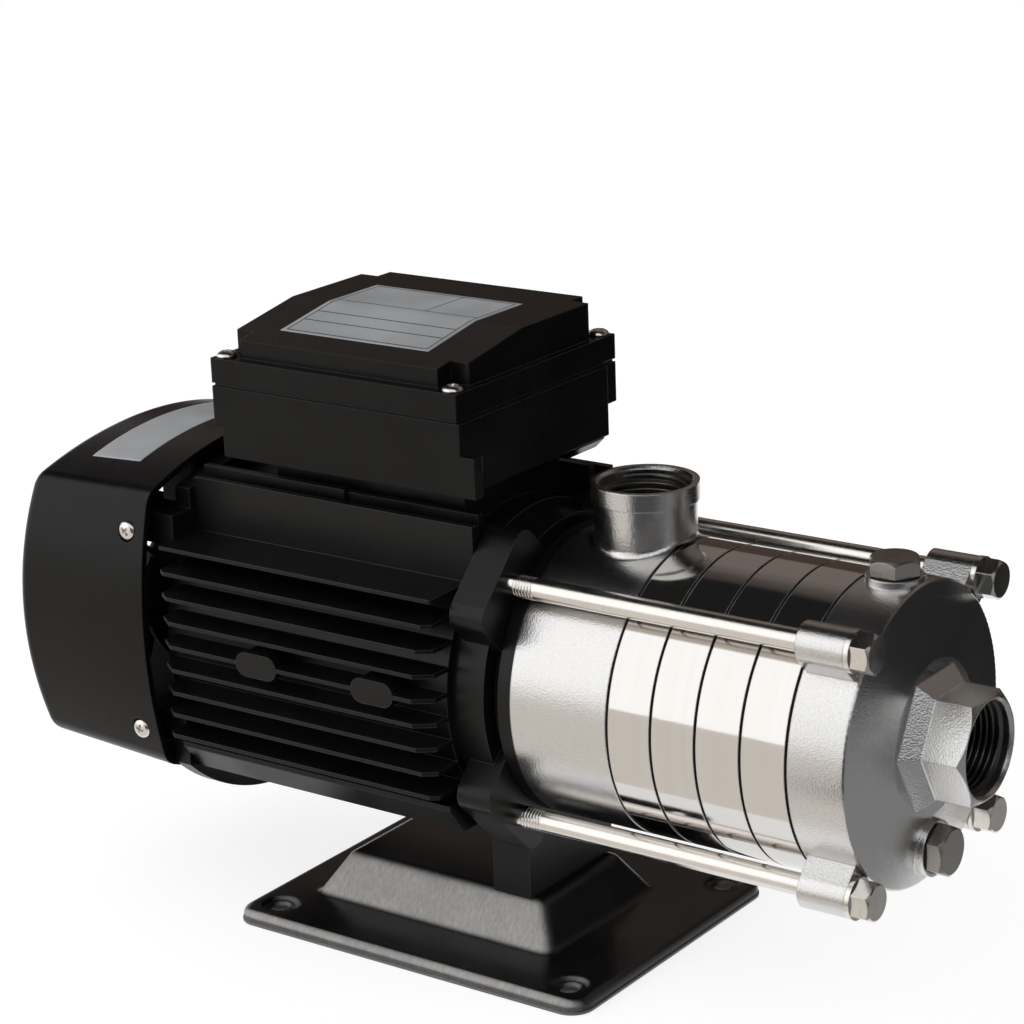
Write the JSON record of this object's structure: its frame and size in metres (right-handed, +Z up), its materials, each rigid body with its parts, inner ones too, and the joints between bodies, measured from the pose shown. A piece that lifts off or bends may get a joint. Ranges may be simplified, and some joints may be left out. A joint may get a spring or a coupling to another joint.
{
  "type": "domestic water booster pump",
  "caption": "Horizontal multistage booster pump with finned black motor, terminal box, stainless stage rings held by tie bolts, threaded ports and a pressed base plate.",
  "frame": {"origin": "on the floor, at the centre of the base plate's four fixing holes", "axes": "+X along the shaft from the fan towards the suction port, +Z up, -Y the side nearest the camera in the picture"},
  "size_m": [0.389, 0.144, 0.234],
  "materials": {
    "base_paint": "satin black paint on pressed steel",
    "cast_paint": "satin black paint on die-cast aluminium",
    "cowl_plastic": "satin black moulding",
    "box_plastic": "black moulding with a soft gloss",
    "cast_stainless": "blasted cast stainless steel",
    "polished_stainless": "polished stainless steel",
    "pressed_stainless": "pressed stainless steel",
    "bolt_steel": "zinc plated",
    "plug_metal": "nickel plated brass",
    "seal_rubber": "black rubber",
    "wet_plastic": "moulded plastic",
    "seal_ceramic": "fired ceramic",
    "seal_steel": "stainless steel",
    "fan_plastic": "moulded plastic",
    "bearing_steel": "ground bearing steel",
    "shaft_steel": "turned steel",
    "lamination": "stacked steel sheets",
    "cage_aluminium": "cast",
    "copper_wire": "lacquered copper wire",
    "terminal_brass": "brass",
    "terminal_plastic": "moulded plastic",
    "capacitor_can": "drawn can",
    "gland_plastic": "moulded plastic"
  },
  "bodies": {
    "frame": {"base_plate": "base_paint", "bracket": "cast_paint", "cable_gland": "gland_plastic", "capacitor": "capacitor_can", "casing_seals": "seal_rubber", "diffuser_1": "wet_plastic", "diffuser_2": "wet_plastic", "diffuser_3": "wet_plastic", "diffuser_4": "wet_plastic", "discharge_casing": "cast_stainless", "fan_cover": "cowl_plastic", "fan_cover_screws": "bolt_steel", "foot_bolts": "bolt_steel", "front_bearing_outer_ring": "bearing_steel", "gland_nut": "gland_plastic", "inlet_plate": "pressed_stainless", "lid_screws": "bolt_steel", "motor_housing": "cast_paint", "motor_studs": "bolt_steel", "rear_bearing_outer_ring": "bearing_steel", "rear_end_shield": "cast_paint", "seal_plate": "pressed_stainless", "seal_seat": "seal_ceramic", "stage_ring_1": "polished_stainless", "stage_ring_2": "polished_stainless", "stage_ring_3": "polished_stainless", "stage_ring_4": "polished_stainless", "stator_core": "lamination", "stator_windings": "copper_wire", "suction_casing": "cast_stainless", "terminal_block": "terminal_plastic", "terminal_box_base": "box_plastic", "terminal_box_gasket": "seal_rubber", "terminal_box_lid": "box_plastic", "terminal_studs": "terminal_brass", "tie_bolt_washers": "bolt_steel", "tie_bolts": "bolt_steel", "wave_washer": "bearing_steel"},
    "rotor": {"shaft": "shaft_steel", "rotor_core": "lamination", "rotor_end_rings": "cage_aluminium", "fan": "fan_plastic", "front_bearing_inner_ring": "bearing_steel", "rear_bearing_inner_ring": "bearing_steel", "impeller_1": "wet_plastic", "impeller_2": "wet_plastic", "impeller_3": "wet_plastic", "impeller_4": "wet_plastic", "shaft_sleeves": "pressed_stainless", "impeller_nut": "pressed_stainless", "seal_head": "seal_steel", "seal_spring": "seal_steel", "water_slinger": "seal_rubber"},
    "front_balls": {"front_bearing_balls": "bearing_steel"},
    "rear_balls": {"rear_bearing_balls": "bearing_steel"},
    "priming_washer": {"priming_plug_washer": "seal_rubber"},
    "priming_screw": {"priming_plug": "plug_metal"},
    "drain_washer": {"drain_plug_washer": "seal_rubber"},
    "drain_screw": {"drain_plug": "plug_metal"}
  },
  "joints": [
    {"name": "rotor_spin", "type": "hinge", "parent": "frame", "child": "rotor", "pos_m": [0, 0, 0.1073], "axis": [1, 0, 0], "continuous": true},
    {"name": "front_balls_roll", "type": "hinge", "parent": "frame", "child": "front_balls", "pos_m": [0, 0, 0.1073], "axis": [1, 0, 0], "continuous": true},
    {"name": "rear_balls_roll", "type": "hinge", "parent": "frame", "child": "rear_balls", "pos_m": [0, 0, 0.1073], "axis": [1, 0, 0], "continuous": true},
    {"name": "priming_lift", "type": "slide", "parent": "frame", "child": "priming_washer", "axis": [0, 0, 1], "range_m": [0, 0.0105]},
    {"name": "priming_turn", "type": "hinge", "parent": "priming_washer", "child": "priming_screw", "pos_m": [0.1724, 0, 0.1073], "axis": [0, 0, 1], "range_deg": [0, 2520]},
    {"name": "drain_out", "type": "slide", "parent": "frame", "child": "drain_washer", "axis": [1, 0, 0], "range_m": [0, 0.0105]},
    {"name": "drain_turn", "type": "hinge", "parent": "drain_washer", "child": "drain_screw", "pos_m": [0.188, 0, 0.0663], "axis": [1, 0, 0], "range_deg": [0, 2520]}
  ],
  "couplings": [
    {"joint": "front_balls_roll", "follows": "rotor_spin", "ratio": 0.3754},
    {"joint": "rear_balls_roll", "follows": "rotor_spin", "ratio": 0.388},
    {"joint": "priming_turn", "follows": "priming_lift", "rad_per_m": 4188.8},
    {"joint": "drain_turn", "follows": "drain_out", "rad_per_m": 4188.8}
  ]
}
